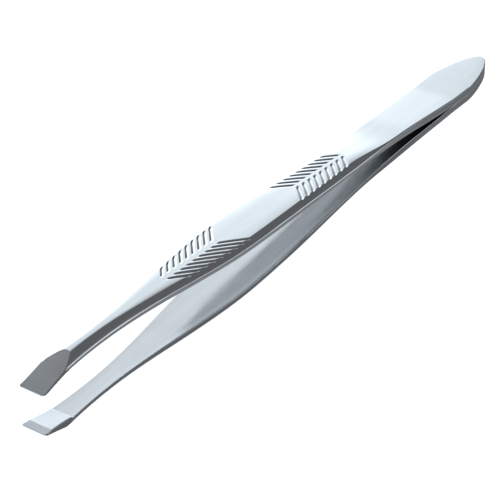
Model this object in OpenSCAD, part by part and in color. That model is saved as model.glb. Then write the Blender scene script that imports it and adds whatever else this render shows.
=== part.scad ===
// Slant tweezers: two mirrored spring-steel arms welded together at the tail.
// X runs along the tweezers (tail at +X), Y across, Z is the opening direction.
// The origin is the middle of the overall box. All lengths are in millimetres.

/* [Overall] */
// which node to draw
// length from the cutting edges to the end of the tail
total_l = 95; // [85:1:110]
// sheet thickness at the tail
sheet_t = 0.9; // [0.8:0.05:1.0]
// thickness of the sheet's edge near the tip, thinned by the pressing
edge_t = 0.4; // [0.35:0.05:0.5]

/* [Plan shape] */
// half width at the cutting edge
tip_w = 1.76; // [1.6:0.02:1.9]
// half width at the neck behind the tip
neck_w = 1.25; // [1.1:0.01:1.35]
// distance from the tip to the neck
neck_x = 10.5; // [9:0.5:13]
// half width at the finger grip
grip_w = 3.3; // [2.9:0.01:3.6]
// distance from the tip to the widest part of the grip
grip_x = 36.5; // [32:0.5:40]
// half width at the waist behind the grip
waist_w = 2.6; // [2.3:0.01:2.8]
// distance from the tip to the waist
waist_x = 68; // [64:0.5:70]
// half width of the tail leaf
tail_w = 3.07; // [2.8:0.01:3.4]
// length of the rounded end of the tail leaf
leaf_l = 9; // [8:0.5:10]

/* [Opening] */
// half of the gap between the arms just behind the tips, at rest
open_z = 3.0; // [2.8:0.1:3.4]
// distance from the tail end at which the two arms meet
joined_l = 12.5; // [12:0.1:14]
// distance from the tail end to the middle of the flexing zone
flex_l = 20; // [19:0.5:24]
// cut between the fixed and the moving half of an arm
flex_cut = 0.1; // [0.08:0.01:0.15]

/* [Crown] */
// width of the sloping flank beside the crown
flank_w = 0.74; // [0.6:0.02:0.9]
// rise of the flank per millimetre of its width
flank_rise = 0.8; // [0.6:0.05:0.9]
// hollow of the inner face, measured in the middle
dish = 0.02; // [0:0.02:0.1]
// outward lean of the sheet's edge
edge_lean = 0.07; // [0.05:0.01:0.1]
// outward lean of the edge beside the tip, before it is ground
tip_lean = 0.48; // [0.4:0.02:0.5]

/* [Tip] */
// half gap between the cutting edges at rest
edge_z = 2.34; // [2.0:0.02:2.5]
// slant of the cutting edge away from square
slant = 3; // [0:1:8]
// thickness left at the cutting edge
edge_land = 0.12; // [0.08:0.01:0.2]
// length of the flat that grips a hair
band_l = 1.05; // [0.8:0.05:1.3]
// length of the ground bevel behind the flat
bevel_l = 3.6; // [3.2:0.1:3.8]
// rise of the bevel along its length
bevel_rise = 0.55; // [0.5:0.01:0.58]
// rise of the outer facet per millimetre
facet_rise = 0.27; // [0.25:0.005:0.29]

/* [Grip pattern] */
// pressed grooves on each side of a patch
groove_n = 9; // [7:1:9]
// distance from one groove to the next in the front patch
front_pitch = 1.178; // [1.15:0.01:1.2]
// distance from one groove to the next in the rear patch
rear_pitch = 1.25; // [1.2:0.01:1.28]
// width of a pressed groove
groove_w = 0.42; // [0.3:0.02:0.5]
// depth of a pressed groove
groove_d = 0.14; // [0.08:0.02:0.16]
// inner end of the first groove of the front patch, from the tip
front_x = 23.35; // [22.5:0.05:24.5]
// inner end of the first groove of the rear patch, from the tip
rear_x = 49.4; // [48.5:0.1:50.5]

/* [Weld] */
// radius of the spot weld between the tails
weld_r = 1.1; // [0.8:0.05:1.2]
// depth of the weld in each sheet
weld_d = 0.4; // [0.3:0.05:0.5]

/* [Hidden] */
half_l = total_l / 2;
leaf_x = total_l - leaf_l;
join_x = total_l - joined_l;
flex_x = total_l - flex_l;
weld_x = join_x + weld_r + 0.1;
// the rolled edge that remains of the flank at the tail
roll_w = 0.1;
rim_tail = sheet_t - roll_w * flank_rise;
// extra depth of the pad before the gripping flat is ground
pad_d = open_z - edge_z + 0.15;
tip_margin = 1.5;
// the thick pad of the tip ends between these two places
pad_a = bevel_l + 0.45;
pad_b = bevel_l + 1.15;
// ends of the grip piece, just outside the two grip patches
split_a = front_x - 0.85;
split_b = rear_x - 3.2;
across = 9;
front_chevron = 1.3;
rear_chevron = 1.05;

// eased step from 0 to 1 between a and b
function step(x, a, b) =
    x <= a ? 0 : x >= b ? 1 : (1 - cos(180 * (x - a) / (b - a))) / 2;

// outer half width of the arm, x measured from the tip
function flare(x) = pow(max(0, neck_x - x) / neck_x, 2.2);
function body_w(x) =
    neck_w
    + (tip_w + 0.34 - neck_w) * flare(x)
    + (grip_w - neck_w) * step(x, neck_x, grip_x)
    - (grip_w - waist_w) * step(x, grip_x, waist_x)
    + (tail_w - waist_w) * step(x, waist_x, leaf_x);
function leaf_q(x) = max(0, min(1, (x - leaf_x) / leaf_l));
function outer_w(x) =
    x <= leaf_x
    ? body_w(x)
    : tail_w * sqrt(1 - pow(leaf_q(x), 1.5)) * (1 - 0.12 * leaf_q(x));

// the pad behind the cutting edge is thicker towards the other arm
function pad(x) = 1 - step(x, pad_a, pad_b);
function lean(x) = edge_lean + (tip_lean - edge_lean) * pad(x);
function inner_w(x) = outer_w(x) - lean(x);

// height of the sheet's inner edge above the middle plane
function bow(x) =
    x >= join_x ? 0 : open_z * pow(sin(90 * (join_x - max(x, 0)) / join_x), 1.06);
function inner_z(x) = bow(x) - pad_d * pad(x);

// width of the flank, wide at the tip and only a rolled edge at the tail
function flank(x) =
    min(
        0.86 * outer_w(x),
        roll_w + (flank_w - roll_w) * (1 - step(x, 58, 69))
        + 0.33 * (1 - step(x, 2, 22))
    );
// height of the crown above the edge of the sheet
function crown(x) = flank_rise * min(flank(x), 1.16 * flank_w);
function thin(x) =
    edge_t
    + 0.15 * step(x, 12, 24)
    - 0.13 * step(x, 44, 56)
    + (rim_tail - edge_t - 0.02) * step(x, 58, 72);
function rim_t(x) = thin(x) + pad_d * pad(x);

// crown profile across the arm, s from 0 in the middle to 1 at the edge;
// the middle third is flat, so the tweezers lie still on a table
function flat_part(x) = 1 - flank(x) / outer_w(x);
function profile(x, s) =
    s < flat_part(x)
    ? 1 - 0.12 * pow(max(0, 1.5 * s / flat_part(x) - 0.5), 2)
    : 0.88 * (1 - pow((s - flat_part(x)) / (1 - flat_part(x)), 1.3));
function crown_z(x, s) = rim_t(x) + crown(x) * profile(x, s);
function shell_z(x, s) = dish * profile(x, s);

// positions across the section, crowded towards the crease and the edge
function across_s(x, i) =
    let (m = 3)
    i <= m
    ? flat_part(x) * i / m
    : flat_part(x) + (1 - flat_part(x)) * (i - m) / (across - m);
function signed_s(x, i) = i < 0 ? -across_s(x, -i) : across_s(x, i);

function ring(x) = concat(
    [for (i = [-across : across])
        let (s = signed_s(x, i))
        [x, s * outer_w(x), inner_z(x) + crown_z(x, abs(s))]],
    [for (i = [across : -1 : -across])
        let (s = signed_s(x, i))
        [x, s * inner_w(x), inner_z(x) + shell_z(x, abs(s))]]
);
ring_n = 2 * (2 * across + 1);

// closed skin through a list of rings
module skin(rings) {
    m = len(rings);
    points = [for (r = rings) for (p = r) p];
    sides = [for (j = [0 : m - 2]) for (k = [0 : ring_n - 1])
        let (a = j * ring_n + k)
        let (b = j * ring_n + (k + 1) % ring_n)
        for (t = [[a, b, b + ring_n], [a, b + ring_n, a + ring_n]]) t];
    half = ring_n / 2;
    front = [for (k = [0 : half - 2])
        for (t = [
            [k, ring_n - 1 - k, k + 1],
            [k + 1, ring_n - 1 - k, ring_n - 2 - k]
        ]) t];
    back = [for (t = front)
        [for (i = [2 : -1 : 0]) (m - 1) * ring_n + t[i]]];
    polyhedron(points, concat(sides, front, back));
}

// n places after a, evenly spaced up to b
function places(a, b, n) = [for (j = [1 : n]) a + (b - a) * j / n];

module arm_sheet(xs) {
    skin([for (x = xs) ring(x)]);
}

// everything ahead of the slanted cutting edge
module tip_waste() {
    translate([0, -tip_w, 0])
        rotate([0, 0, -slant])
            translate([-10, -5, -5])
                cube([10, 14, 15]);
}

// metal ground from the outside of the tip
module facet_waste() {
    translate([0, -tip_w, edge_z + edge_land])
        rotate([0, 0, -slant])
            rotate([0, -atan(facet_rise), 0])
                translate([-3, -6, 0])
                    cube([12, 16, 4]);
}

// metal ground from the inside: the gripping flat, then the bevel
module bevel_waste() {
    translate([0, -tip_w, edge_z])
        rotate([0, 0, -slant]) {
            rotate([0, 1.75, 0])
                translate([-3, -6, -4])
                    cube([3 + band_l, 16, 4]);
            translate([band_l, 0, -0.03])
                rotate([0, -atan(bevel_rise / bevel_l), 0])
                    translate([-0.2, -6, -4])
                        cube([bevel_l + 0.6, 16, 4]);
        }
}

// one pressed groove from the smooth centre strip out over the crown
module groove(x, side, inner_y, run, reach) {
    outer_y = outer_w(x) - reach * flank(x);
    len_y = outer_y - inner_y;
    x2 = x + run * len_y;
    z1 = inner_z(x) + crown_z(x, inner_y / outer_w(x));
    z2 = inner_z(x2) + crown_z(x2, outer_y / outer_w(x2));
    flat_len = norm([x2 - x, len_y]);
    translate([x, side * inner_y, z1 - groove_d])
        rotate([0, 0, atan2(side * len_y, x2 - x)])
            rotate([0, -atan((z2 - z1) / flat_len), 0])
                translate([0, -groove_w / 2, 0])
                    cube([flat_len, groove_w, 1]);
}

module groove_patch(first, pitch, inner_y, run, reach) {
    for (i = [0 : groove_n - 1])
        for (side = [-1, 1])
            groove(first + i * pitch, side, inner_y, run, reach);
}

// front length of an arm: the ground tip and the neck
module arm_tip() {
    translate([-half_l, 0, 0])
        difference() {
            arm_sheet(concat(
                [-tip_margin],
                places(-tip_margin, pad_a, 5),
                places(pad_a, pad_b, 5),
                places(pad_b, split_a, 14)
            ));
            tip_waste();
            facet_waste();
            bevel_waste();
        }
}

// middle length of an arm, with the front grip patch
module arm_grip() {
    translate([-half_l, 0, 0])
        difference() {
            arm_sheet(concat([split_a], places(split_a, split_b, 16)));
            groove_patch(front_x, front_pitch, 0.43, front_chevron, 0.75);
        }
}

// rear length of an arm, with the rear grip patch, up to the flexing zone
module arm_spring() {
    b = flex_x - flex_cut / 2;
    translate([-half_l, 0, 0])
        difference() {
            arm_sheet(concat([split_b], places(split_b, b, 18)));
            groove_patch(rear_x, rear_pitch, 0.28, -rear_chevron, 0.95);
        }
}

// side view of the fixed part of an arm, bent up in front of the weld
module tail_side() {
    a = flex_x + flex_cut / 2;
    n = 12;
    xs = [for (i = [0 : n]) a + (join_x - a) * i / n];
    low = [for (x = xs) [x, bow(x)]];
    high = [for (i = [n : -1 : 0]) [xs[i], bow(xs[i]) + sheet_t]];
    polygon(concat(low, [[total_l, 0]], [[total_l, sheet_t]], high));
}

// plan of the tail leaf
module tail_plan() {
    a = flex_x - 1;
    n = 30;
    xs = concat(
        [for (i = [0 : 9]) a + (leaf_x - a) * i / 10],
        [for (i = [0 : n]) leaf_x + leaf_l * sin(90 * i / n)]
    );
    near = [for (x = xs) [x, -outer_w(x)]];
    far = [for (i = [len(xs) - 2 : -1 : 0]) [xs[i], outer_w(xs[i])]];
    polygon(concat(near, far));
}

module one_tail() {
    translate([-half_l, 0, 0])
        difference() {
            intersection() {
                translate([0, 10, 0])
                    rotate([90, 0, 0])
                        linear_extrude(20)
                            tail_side();
                translate([0, 0, -1])
                    linear_extrude(4)
                        tail_plan();
            }
            translate([weld_x, 0, -1])
                cylinder(r = weld_r, h = 1 + weld_d, $fn = 48);
        }
}

module upper_tail() {
    color([0.80, 0.83, 0.86])
        one_tail();
}

module lower_tail() {
    color([0.74, 0.77, 0.80])
        mirror([0, 0, 1])
            one_tail();
}

module spot_weld() {
    color([0.55, 0.56, 0.58])
        translate([weld_x - half_l, 0, -weld_d])
            cylinder(r = weld_r, h = 2 * weld_d, $fn = 48);
}

module upper_tip() {
    color([0.84, 0.87, 0.90])
        arm_tip();
}

module upper_grip() {
    color([0.82, 0.85, 0.88])
        arm_grip();
}

module upper_spring() {
    color([0.80, 0.83, 0.86])
        arm_spring();
}

module lower_tip() {
    color([0.74, 0.77, 0.80])
        mirror([0, 0, 1])
            arm_tip();
}

module lower_grip() {
    color([0.72, 0.75, 0.78])
        mirror([0, 0, 1])
            arm_grip();
}

module lower_spring() {
    color([0.70, 0.73, 0.76])
        mirror([0, 0, 1])
            arm_spring();
}

upper_tail();
lower_tail();
spot_weld();
upper_tip();
upper_grip();
upper_spring();
lower_tip();
lower_grip();
lower_spring();
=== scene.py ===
"""Slant tweezers: two pressed steel arms welded at the tail, on a pale studio floor."""
import math

import bpy
import numpy as np
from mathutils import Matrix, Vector


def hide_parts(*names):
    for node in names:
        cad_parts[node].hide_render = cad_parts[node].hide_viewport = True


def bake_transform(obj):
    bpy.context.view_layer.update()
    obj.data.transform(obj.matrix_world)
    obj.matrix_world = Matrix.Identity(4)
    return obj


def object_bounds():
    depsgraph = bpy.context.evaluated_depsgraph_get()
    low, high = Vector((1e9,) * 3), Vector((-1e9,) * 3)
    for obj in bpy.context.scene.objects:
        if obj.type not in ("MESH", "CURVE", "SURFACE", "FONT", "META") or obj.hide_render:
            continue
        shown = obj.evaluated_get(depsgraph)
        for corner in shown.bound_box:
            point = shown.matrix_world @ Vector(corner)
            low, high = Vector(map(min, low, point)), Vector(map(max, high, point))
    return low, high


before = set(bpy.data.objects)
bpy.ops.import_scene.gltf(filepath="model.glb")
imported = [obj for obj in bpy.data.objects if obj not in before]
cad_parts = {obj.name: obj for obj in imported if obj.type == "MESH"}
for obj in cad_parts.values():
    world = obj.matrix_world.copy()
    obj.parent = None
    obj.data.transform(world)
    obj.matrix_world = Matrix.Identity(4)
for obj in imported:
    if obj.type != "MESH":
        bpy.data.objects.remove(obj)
cad_low, cad_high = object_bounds()
MM = 0.001

# Sizes of the CAD arm in millimetres. x is measured from the cutting edge along the tweezers,
# the widths of the outline are half widths, and a pair of places is a change's start and end.
TOTAL, SHEET, RIM = 95.0, 0.9, 0.4
TIP_W, NECK_W, GRIP_W, WAIST_W, TAIL_W = 1.76, 1.25, 3.3, 2.6, 3.07
NECK_X, GRIP_X, WAIST_X, LEAF_L = 10.5, 36.5, 68.0, 9.0
OPEN_Z, JOINED_L, EDGE_Z, SLANT = 3.0, 12.5, 2.34, math.radians(3)
LEAF_X, JOIN_X, HALF_L = TOTAL - LEAF_L, TOTAL - JOINED_L, TOTAL / 2
BOW_POWER = 1.06

# outline: the tip flares above the cutting edge, the tail ends in a leaf
TIP_FLARE, FLARE_POWER = 0.34, 2.2
LEAF_POWER, LEAF_TAPER, LEAF_END = 1.5, 0.12, 0.99995

# side walls: how far they lean, and where the lean and the hollow of the inner face end
SIDE_LEAN, TIP_LEAN = 0.07, 0.48
UPRIGHT = (70, 76)

# thicker sheet behind the cutting edge, towards the other arm
PAD_OVER, PAD_FADE = 0.15, (0.45, 1.15)
PAD_D = OPEN_Z - EDGE_Z + PAD_OVER

# the sloping flanks of the crown, and DISH, the hollow of the inner face
FLANK_W, FLANK_RISE, ROLL_W, DISH = 0.74, 0.8, 0.1, 0.02
FLANK_FADE, FLANK_MOST = (58, 69), 0.86
TIP_FLANK, TIP_FLANK_FADE = 0.33, (2, 22)
CROWN_MOST = 1.16
SOFT_POWER, CRISP_POWER, CRISP_FROM = 0.5, 1.15, (14, 34)
DROP, DROP_W, DROP_START, DROP_LEAST = 0.12, 1.2, 0.1, 0.02

# the upright rim: thicker at the grip, thinner behind it (RIM_LEFT stays of the thickening),
# and at the tail the whole sheet apart from its rolled edge
RIM_GRIP, RIM_GRIP_IN = 0.15, (12, 24)
RIM_BACK, RIM_GRIP_OUT = 0.13, (44, 56)
RIM_LEFT = 0.02
RIM_TAIL, RIM_TAIL_IN = SHEET - ROLL_W * FLANK_RISE, (58, 72)

# ground faces at the tip: a narrow land, a band and a bevel inside, a facet outside
LAND, BAND_L, BEVEL_L, BEVEL_RISE, FACET_RISE = 0.12, 1.05, 3.6, 0.55, 0.27
BAND_SLOPE, BEVEL_START, BEVEL_OVER = 0.0306, 0.03, 0.4
NOT_GROUND = -9
NEAR_CORNER, FAR_CORNER = 0.5, 0.18

# pressed grooves: first inner end, its distance from the centre line, run, pitch, reach
GROOVES, GROOVE_HALF, GROOVE_D = 9, 0.26, 0.14
PATCHES = ((23.35, 0.43, 1.3, 1.178, 0.75), (49.4, 0.28, -1.05, 1.25, 0.95))
FAR_SHORTER = 0.35
INNER_END, OUTER_END = (-0.12, 0.16), (-0.25, 0.1)

# where the grid leans with the cutting edge and with the two patches of grooves
EDGE_LEAN_OUT = (7, 14)
FRONT_IN, FRONT_OUT = (13, 21.5), (33.5, 43)
REAR_IN, REAR_OUT = (40, 49.0), (61, 73)

# points across the sheet, and how far the spaced ones reach towards the corner
FLAT_N, FLANK_N, ROUND_N = 20, 16, 3
FLANK_REACH, UNDER_REACH = 0.82, 0.94
TOP_ROUND, UNDER_ROUND = 0.12, 0.1
BEFORE_SHARE, AFTER_SHARE = 0.85, 0.42
SOLVE_ROUNDS, SHARP = 10, math.radians(24)
PLAIN, GROUND, WALL = 0, 1, 2


def step(x, a, b):
    """0 before a and 1 behind b, with a smooth change between them."""
    t = np.clip((x - a) / (b - a), 0, 1)
    return (1 - np.cos(math.pi * t)) / 2


def outer_w(x):
    """Half width at the top of the side walls."""
    flare = (np.maximum(0, NECK_X - x) / NECK_X) ** FLARE_POWER
    body = (
        NECK_W
        + (TIP_W + TIP_FLARE - NECK_W) * flare
        + (GRIP_W - NECK_W) * step(x, NECK_X, GRIP_X)
        - (GRIP_W - WAIST_W) * step(x, GRIP_X, WAIST_X)
        + (TAIL_W - WAIST_W) * step(x, WAIST_X, LEAF_X)
    )
    q = np.clip((x - LEAF_X) / LEAF_L, 0, LEAF_END)
    leaf = TAIL_W * np.sqrt(1 - q**LEAF_POWER) * (1 - LEAF_TAPER * q)
    return np.where(x <= LEAF_X, body, leaf)


def pad(x):
    """The sheet is thicker towards the other arm behind the cutting edge."""
    return 1 - step(x, BEVEL_L + PAD_FADE[0], BEVEL_L + PAD_FADE[1])


def lean(x):
    return SIDE_LEAN + (TIP_LEAN - SIDE_LEAN) * pad(x)


def inner_w(x):
    """Half width at the foot of the side walls."""
    return outer_w(x) - lean(x) * (1 - step(x, *UPRIGHT))


def inner_z(x):
    """Height of the face towards the other arm."""
    a = np.clip((JOIN_X - np.maximum(x, 0)) / JOIN_X, 0, 1)
    return OPEN_Z * np.sin(a * math.pi / 2) ** BOW_POWER - PAD_D * pad(x)


def flank(x):
    """Width of the sloping flank on each side of the crown."""
    w = ROLL_W + (FLANK_W - ROLL_W) * (1 - step(x, *FLANK_FADE))
    w = w + TIP_FLANK * (1 - step(x, *TIP_FLANK_FADE))
    return np.minimum(FLANK_MOST * outer_w(x), w)


def crown(x):
    return FLANK_RISE * np.minimum(flank(x), CROWN_MOST * FLANK_W)


def rim_t(x):
    thin = RIM + RIM_GRIP * step(x, *RIM_GRIP_IN) - RIM_BACK * step(x, *RIM_GRIP_OUT)
    return thin + (RIM_TAIL - RIM - RIM_LEFT) * step(x, *RIM_TAIL_IN) + PAD_D * pad(x)


def profile(x, s):
    """Crown across the arm, soft towards the tip and crisper from the grip on."""
    flat = 1 - flank(x) / outer_w(x)
    t = np.clip((s - flat) / (1 - flat), 0, 1)
    power = CRISP_POWER + SOFT_POWER * (1 - step(x, *CRISP_FROM))
    drop = DROP * np.clip(flat * outer_w(x) / DROP_W - DROP_START, DROP_LEAST, 1)
    # level in the middle third, then falling a little towards the flanks
    top = 1 - drop * np.maximum(0, 1.5 * s / np.maximum(flat, 1e-6) - 0.5) ** 2
    return np.where(s < flat, top, (1 - drop) * (1 - t**power))


def behind_edge(x, y):
    """Distance behind the slanted cutting edge."""
    return x * math.cos(SLANT) - (y + TIP_W) * math.sin(SLANT)


def groove_cut(u, x, y):
    """Depth of the pressed grooves; a groove is a line of constant u."""
    depth = np.zeros_like(x)
    for first, inner, run, pitch, reach in PATCHES:
        outer = outer_w(x) - (reach + np.where(y > 0, FAR_SHORTER, 0)) * flank(x)
        ends = step(np.abs(y), inner + INNER_END[0], inner + INNER_END[1])
        ends = ends * (1 - step(np.abs(y), outer + OUTER_END[0], outer + OUTER_END[1]))
        for i in range(GROOVES):
            off = np.abs(u - (first + i * pitch - run * inner)) / math.hypot(1, run)
            depth = np.maximum(depth, GROOVE_D * (1 - step(off, 0, GROOVE_HALF)) * ends)
    return depth


def facet_z(x, y):
    """Height of the ground facet on the outside of the tip."""
    return EDGE_Z + LAND + FACET_RISE * behind_edge(x, y)


def ground_z(x, y):
    """Height of the ground band and bevel on the inside of the tip."""
    d = behind_edge(x, y)
    band = EDGE_Z - BAND_SLOPE * d
    bevel = EDGE_Z - BEVEL_START + BEVEL_RISE / BEVEL_L * (d - BAND_L)
    ground = np.where(d < BAND_L, band, bevel)
    return np.where(d < BAND_L + BEVEL_L + BEVEL_OVER, ground, NOT_GROUND)


def wall_w(x, z):
    """Half width of the leaning side wall at height z."""
    up = np.clip((z - inner_z(x)) / rim_t(x), 0, 1)
    return inner_w(x) + (outer_w(x) - inner_w(x)) * up


def outer_height(u, x, y):
    """Height of the outside, and which points lie on the facet."""
    s = np.clip(np.abs(y) / outer_w(x), 0, 1)
    z = inner_z(x) + rim_t(x) + crown(x) * profile(x, s) - groove_cut(u, x, y)
    facet = facet_z(x, y)
    return np.minimum(z, facet), facet < z


def inner_height(x, y):
    """Height of the underside, and which points lie on the band or the bevel."""
    s = np.clip(np.abs(y) / inner_w(x), 0, 1)
    z = inner_z(x) + DISH * profile(x, s) * (1 - step(x, *UPRIGHT))
    ground = ground_z(x, y)
    return np.maximum(z, ground), ground > z


def stations():
    """Places along the arm, close together where the shape has detail."""
    # the rounded corners of the cutting edge, the ground faces, the neck
    u = [0, 0.03, 0.07, 0.12, 0.18, 0.25, 0.33, 0.42, 0.52]
    u += list(np.arange(0.62, 7.2, 0.07))
    u += list(np.linspace(7.4, 20.0, 26))
    for first, inner, run, pitch, _ in PATCHES:
        start = first - run * inner
        offs = np.linspace(-1, 1, 11) * GROOVE_HALF * math.hypot(1, run)
        for i in range(GROOVES):
            u += [start + i * pitch + o for o in offs]
            u.append(start + (i + 0.5) * pitch)
        end = start + GROOVES * pitch
        u += list(np.linspace(end, end + 1.5, 4))
        u += list(np.linspace(start - 2.0, start - 0.7, 4))
    # between the patches, the waist, the rounded end of the leaf
    u += list(np.linspace(34.5, 47.0, 22))
    u += list(np.linspace(62.3, LEAF_X, 40))
    u += list(LEAF_X + LEAF_L * np.sin(np.linspace(0, 90, 34)[1:] * math.pi / 180))
    u = np.array(sorted(u))
    keep = np.concatenate([[True], np.diff(u) > 0.02])
    return u[keep]


def place_x(u, y):
    """The grid leans with the slanted edge at the tip and with the grooves at the grip."""
    slant = (y + TIP_W) * math.tan(SLANT) * (1 - step(u, *EDGE_LEAN_OUT))
    front = step(u, *FRONT_IN) * (1 - step(u, *FRONT_OUT))
    rear = step(u, *REAR_IN) * (1 - step(u, *REAR_OUT))
    return u + slant + (PATCHES[0][2] * front + PATCHES[1][2] * rear) * np.abs(y)


def corner_trim(u, y_sign):
    """The corners of the cutting edge are rounded in plan, the near one more."""
    r = NEAR_CORNER if y_sign < 0 else FAR_CORNER
    a = max(0.0, r - u)
    return r - math.sqrt(max(0.0, r * r - a * a))


def fillet(corner, before, after, radius):
    """Points rounding a corner between two neighbours, as a smooth curve."""
    a, b = before - corner, after - corner
    la, lb = np.linalg.norm(a), np.linalg.norm(b)
    r = min(radius, BEFORE_SHARE * la, AFTER_SHARE * lb)
    p, q = corner + a / la * r, corner + b / lb * r
    ts = np.linspace(0, 1, ROUND_N + 2)
    return [(1 - t) ** 2 * p + 2 * t * (1 - t) * corner + t * t * q for t in ts]


def half_ring(u, sign):
    """One side of the loop: outside, underside, which points are ground, the rounded wall."""
    flat_t = np.arange(FLAT_N) / FLAT_N
    flank_t = 1 + FLANK_REACH * np.arange(FLANK_N) / (FLANK_N - 1)
    t = np.concatenate([flat_t, flank_t, [2.0]])
    under = np.concatenate([np.linspace(0, UNDER_REACH, FLAT_N + FLANK_N), [1.0]])
    trim = corner_trim(u, sign)

    def solve(outside):
        # the width depends on x, and x on the width, so both are found in rounds
        y = np.zeros_like(t)
        for _ in range(SOLVE_ROUNDS):
            x = place_x(u, sign * y)
            if outside:
                flat = 1 - flank(x) / outer_w(x)
                s = np.where(t <= 1, flat * t, flat + (1 - flat) * (t - 1))
                z = facet_z(x, sign * y)
            else:
                s = under
                z = ground_z(x, sign * y)
            y = s * (wall_w(x, z) - trim)
        return place_x(u, sign * y), sign * y

    x, y = solve(True)
    z, top_ground = outer_height(u, x, y)
    top = np.stack([x, y, z], 1)
    x, y = solve(False)
    z, bot_ground = inner_height(x, y)
    bot = np.stack([x, y, z], 1)
    upper_round = fillet(top[-1], top[-2], bot[-1], TOP_ROUND)
    lower_round = fillet(bot[-1], top[-1], bot[-2], UNDER_ROUND)
    middle = upper_round[-1] * 0.5 + lower_round[0] * 0.5
    return top, bot, top_ground, bot_ground, upper_round + [middle] + lower_round


def ring(u):
    """One closed loop round the sheet at station u: top, far wall, underside, near wall."""
    near, far = half_ring(u, -1), half_ring(u, 1)
    inwards = range(FLAT_N + FLANK_N - 1, 0, -1)
    outwards = range(FLAT_N + FLANK_N)
    pts, kinds = [], []

    def add_face(side, face, order):
        for k in order:
            pts.append(side[face][k])
            kinds.append(GROUND if side[face + 2][k] else PLAIN)

    def add_wall(wall):
        pts.extend(wall)
        kinds.extend([WALL] * len(wall))

    add_face(near, 0, inwards)
    add_face(far, 0, outwards)
    n_top = len(pts)
    add_wall(far[4])
    n_wall = len(pts) - n_top
    add_face(far, 1, inwards)
    add_face(near, 1, outwards)
    add_wall(near[4][::-1])
    return np.array(pts), np.array(kinds), n_top, n_wall


def arm_faces(m, n, n_top, n_wall):
    """Quads between m loops of n points, and a cap at each end."""
    faces = []
    idx = np.arange(n)
    nxt = (idx + 1) % n
    for j in range(m - 1):
        a, b = j * n, (j + 1) * n
        faces += [(a + i, a + k, b + k, b + i) for i, k in zip(idx, nxt)]
    tops = list(range(n_top))
    bots = [(2 * n_top + n_wall - 1 - i) for i in range(n_top)]
    far_wall = list(range(n_top + n_wall - 1, n_top - 1, -1))
    near_wall = list(range(n - 1, 2 * n_top + n_wall - 1, -1))
    caps = [[tops[i], bots[i], bots[i + 1], tops[i + 1]] for i in range(n_top - 1)]
    caps.append([tops[-1], bots[-1]] + far_wall)
    caps.append([bots[0], tops[0]] + near_wall)
    for base, turn in ((0, False), ((m - 1) * n, True)):
        for c in caps:
            c = [base + i for i in c]
            faces.append(tuple(reversed(c)) if turn else tuple(c))
    return faces


def build_arm(name, flip):
    """One continuous pressing from the cutting edge to the end of the tail."""
    rings = [ring(u) for u in stations()]
    co = np.concatenate([r[0] for r in rings])
    ground_v = np.concatenate([r[1] for r in rings]) == GROUND
    co[:, 0] -= HALF_L
    faces = arm_faces(len(rings), len(rings[0][0]), rings[0][2], rings[0][3])
    if flip:
        co[:, 2] *= -1
    else:
        faces = [tuple(reversed(f)) for f in faces]
    mesh = bpy.data.meshes.new(name)
    mesh.from_pydata((co * MM).tolist(), [], faces)
    mesh.update()
    mesh.materials.append(steel)
    mesh.materials.append(ground)
    corners = np.zeros(len(mesh.loops), dtype=np.int64)
    mesh.loops.foreach_get("vertex_index", corners)
    slots = np.zeros(len(mesh.polygons), dtype=np.int32)
    for p in mesh.polygons:
        vs = corners[p.loop_start : p.loop_start + p.loop_total]
        if ground_v[vs].sum() * 2 >= len(vs):
            slots[p.index] = 1
    mesh.polygons.foreach_set("material_index", slots)
    mesh.polygons.foreach_set("use_smooth", np.ones(len(mesh.polygons), dtype=bool))
    mesh.set_sharp_from_angle(angle=SHARP)
    mesh.validate()
    obj = bpy.data.objects.new(name, mesh)
    bpy.context.scene.collection.objects.link(obj)
    return obj


def metal(name, tint, rough, rough_swing, grain, grain_scale, bump):
    """Steel with fine drawn grain, from stretched noise."""
    mat = bpy.data.materials.new(name)
    mat.use_nodes = True
    nt = mat.node_tree
    bsdf = nt.nodes["Principled BSDF"]
    bsdf.inputs["Metallic"].default_value = 1.0
    coord = nt.nodes.new("ShaderNodeTexCoord")
    mapping = nt.nodes.new("ShaderNodeMapping")
    mapping.inputs["Scale"].default_value = grain_scale
    nt.links.new(coord.outputs["Object"], mapping.inputs["Vector"])
    noise = nt.nodes.new("ShaderNodeTexNoise")
    noise.inputs["Scale"].default_value = grain
    noise.inputs["Detail"].default_value = 5.0
    noise.inputs["Roughness"].default_value = 0.65
    nt.links.new(mapping.outputs["Vector"], noise.inputs["Vector"])
    cloud = nt.nodes.new("ShaderNodeTexNoise")
    cloud.inputs["Scale"].default_value = 320.0
    cloud.inputs["Detail"].default_value = 3.0
    nt.links.new(coord.outputs["Object"], cloud.inputs["Vector"])
    ramp = nt.nodes.new("ShaderNodeValToRGB")
    ramp.color_ramp.elements[0].position = 0.3
    ramp.color_ramp.elements[1].position = 0.72
    ramp.color_ramp.elements[0].color = tuple(c * 0.93 for c in tint) + (1,)
    ramp.color_ramp.elements[1].color = tuple(tint) + (1,)
    nt.links.new(noise.outputs["Fac"], ramp.inputs["Fac"])
    nt.links.new(ramp.outputs["Color"], bsdf.inputs["Base Color"])
    rough_map = nt.nodes.new("ShaderNodeMapRange")
    rough_map.inputs["From Min"].default_value = 0.3
    rough_map.inputs["From Max"].default_value = 0.7
    rough_map.inputs["To Min"].default_value = rough - rough_swing
    rough_map.inputs["To Max"].default_value = rough + rough_swing
    nt.links.new(cloud.outputs["Fac"], rough_map.inputs["Value"])
    nt.links.new(rough_map.outputs["Result"], bsdf.inputs["Roughness"])
    bumps = nt.nodes.new("ShaderNodeBump")
    bumps.inputs["Strength"].default_value = bump
    bumps.inputs["Distance"].default_value = 0.00002
    nt.links.new(noise.outputs["Fac"], bumps.inputs["Height"])
    nt.links.new(bumps.outputs["Normal"], bsdf.inputs["Normal"])
    return mat


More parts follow.
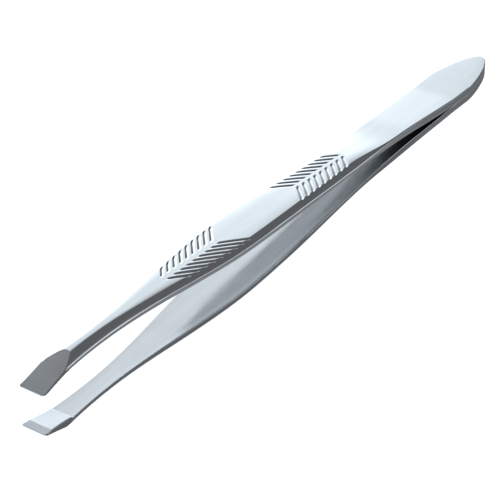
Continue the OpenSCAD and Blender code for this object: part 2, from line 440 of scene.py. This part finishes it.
steel = metal("pressed_steel", (0.662, 0.673, 0.684), 0.17, 0.03, 900.0, (0.05, 1.0, 1.0), 0.25)
ground = metal("ground_steel", (0.613, 0.623, 0.641), 0.33, 0.04, 1500.0, (1.0, 0.06, 1.0), 0.5)
weld_mat = metal("weld_steel", (0.62, 0.60, 0.58), 0.45, 0.06, 1200.0, (1.0, 1.0, 1.0), 0.5)

upper = build_arm("upper_arm_pressing", False)
lower = build_arm("lower_arm_pressing", True)
for obj, body, nodes in (
    (upper, "upper_arm_body", ("upper_tail", "upper_tip", "upper_grip", "upper_spring")),
    (lower, "lower_arm_body", ("lower_tail", "lower_tip", "lower_grip", "lower_spring")),
):
    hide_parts(*nodes)
    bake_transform(obj)
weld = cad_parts["spot_weld"]
weld.data.materials.clear()
weld.data.materials.append(weld_mat)

# pale floor just under the lowest point of the tweezers, in metres
FLOOR_GAP, FLOOR_R = 0.0004, 1.6
FLOOR_GREY, FLOOR_ROUGH, FLOOR_GLOW = 0.9, 0.9, 0.85
floor_at = (0, 0, cad_low.z - FLOOR_GAP)
bpy.ops.mesh.primitive_circle_add(vertices=96, radius=FLOOR_R, fill_type="NGON", location=floor_at)
floor = bpy.context.object
floor.name = "studio_floor"
floor_mat = bpy.data.materials.new("pale_floor")
floor_mat.use_nodes = True
fb = floor_mat.node_tree.nodes["Principled BSDF"]
fb.inputs["Base Color"].default_value = (FLOOR_GREY, FLOOR_GREY, FLOOR_GREY, 1)
fb.inputs["Roughness"].default_value = FLOOR_ROUGH
fb.inputs["Emission Color"].default_value = (1, 1, 1, 1)
fb.inputs["Emission Strength"].default_value = FLOOR_GLOW
floor.data.materials.append(floor_mat)
floor.visible_glossy = False

LIT_SIDE, BASE_LIGHT, WORLD_LIGHT = math.radians(18), 0.1, 1.6


def make_world():
    """Soft studio surroundings: a bright side, a darker side and a low horizon glow."""
    world = bpy.data.worlds.new("studio")
    bpy.context.scene.world = world
    world.use_nodes = True
    nt = world.node_tree
    nt.nodes.clear()
    out = nt.nodes.new("ShaderNodeOutputWorld")
    bg = nt.nodes.new("ShaderNodeBackground")
    nt.links.new(bg.outputs["Background"], out.inputs["Surface"])
    coord = nt.nodes.new("ShaderNodeTexCoord")
    sep = nt.nodes.new("ShaderNodeSeparateXYZ")
    nt.links.new(coord.outputs["Generated"], sep.inputs["Vector"])

    def maths(op, a, b):
        node = nt.nodes.new("ShaderNodeMath")
        node.operation = op
        for i, v in enumerate((a, b)):
            if isinstance(v, (int, float)):
                node.inputs[i].default_value = v
            else:
                nt.links.new(v, node.inputs[i])
        return node.outputs["Value"]

    def smooth(value, a, b, lo, hi):
        node = nt.nodes.new("ShaderNodeMapRange")
        node.interpolation_type = "SMOOTHSTEP"
        node.inputs["From Min"].default_value = a
        node.inputs["From Max"].default_value = b
        node.inputs["To Min"].default_value = lo
        node.inputs["To Max"].default_value = hi
        nt.links.new(value, node.inputs["Value"])
        return node.outputs["Result"]

    x, y, z = sep.outputs["X"], sep.outputs["Y"], sep.outputs["Z"]
    across = maths(
        "ADD",
        maths("MULTIPLY", x, -math.sin(LIT_SIDE)),
        maths("MULTIPLY", y, math.cos(LIT_SIDE)),
    )
    lit_side = smooth(across, -0.02, 0.17, 0.0, 1.0)
    # the lit side is brightest near the horizon and falls off overhead and underneath
    low_sky = smooth(z, 0.26, 0.4, 0.62, 0.0)
    mid_sky = smooth(z, 0.45, 0.55, 0.13, 0.0)
    top_sky = smooth(z, 0.56, 0.8, 0.72, 0.14)
    sky = maths("ADD", maths("ADD", low_sky, mid_sky), top_sky)
    sky = maths("MULTIPLY", sky, smooth(z, -0.5, -0.36, 0.55, 1.0))
    sky = maths("MULTIPLY", sky, smooth(z, -0.675, -0.605, 0.03, 1.0))
    # half as bright towards the tips' end of the room
    sky = maths("MULTIPLY", sky, smooth(x, -0.15, 0.27, 0.5, 1.0))
    bright = maths("MULTIPLY", lit_side, sky)
    # a narrow glow low on the near side
    angle = maths("ARCTAN2", y, x)
    glow = maths(
        "MULTIPLY", smooth(z, 0.0, 0.12, 0.0, 1.0), smooth(z, 0.3, 0.42, 1.0, 0.0)
    )
    glow = maths("MULTIPLY", glow, smooth(angle, -1.2, -0.95, 0.0, 1.1))
    glow = maths("MULTIPLY", glow, smooth(angle, -0.5, -0.3, 1.0, 0.0))
    below = smooth(z, -0.62, -0.35, 0.1, 0.0)
    shade = maths("ADD", maths("ADD", glow, below), BASE_LIGHT)
    level = maths("MAXIMUM", bright, shade)
    tint = nt.nodes.new("ShaderNodeValToRGB")
    tint.color_ramp.elements[0].position = 0.2
    tint.color_ramp.elements[0].color = (0.92, 0.95, 1.0, 1)
    tint.color_ramp.elements[1].position = 0.8
    tint.color_ramp.elements[1].color = (0.84, 0.92, 0.98, 1)
    nt.links.new(level, tint.inputs["Fac"])
    nt.links.new(tint.outputs["Color"], bg.inputs["Color"])
    nt.links.new(maths("MULTIPLY", level, WORLD_LIGHT), bg.inputs["Strength"])


make_world()

# camera at the photograph's angle, in metres
CAM_LENS, CAM_SENSOR, CAM_CLIP = 158.4, 36.0, 0.01
CAM_AIM, CAM_DISTANCE = Vector((-0.0077, 0.0, -0.001037)), 0.2502
CAM_AZIMUTH, CAM_ELEVATION = math.radians(56.6), math.radians(31)
cam_data = bpy.data.cameras.new("camera")
cam_data.lens = CAM_LENS
cam_data.sensor_width = CAM_SENSOR
cam_data.clip_start = CAM_CLIP
cam = bpy.data.objects.new("camera", cam_data)
bpy.context.scene.collection.objects.link(cam)
back = Vector((
    -math.sin(CAM_AZIMUTH) * math.cos(CAM_ELEVATION),
    -math.cos(CAM_AZIMUTH) * math.cos(CAM_ELEVATION),
    math.sin(CAM_ELEVATION),
))
cam.location = CAM_AIM + back * CAM_DISTANCE
cam.rotation_euler = (-back).to_track_quat("-Z", "Y").to_euler()
bpy.context.scene.camera = cam
bpy.context.scene.view_settings.view_transform = "Standard"
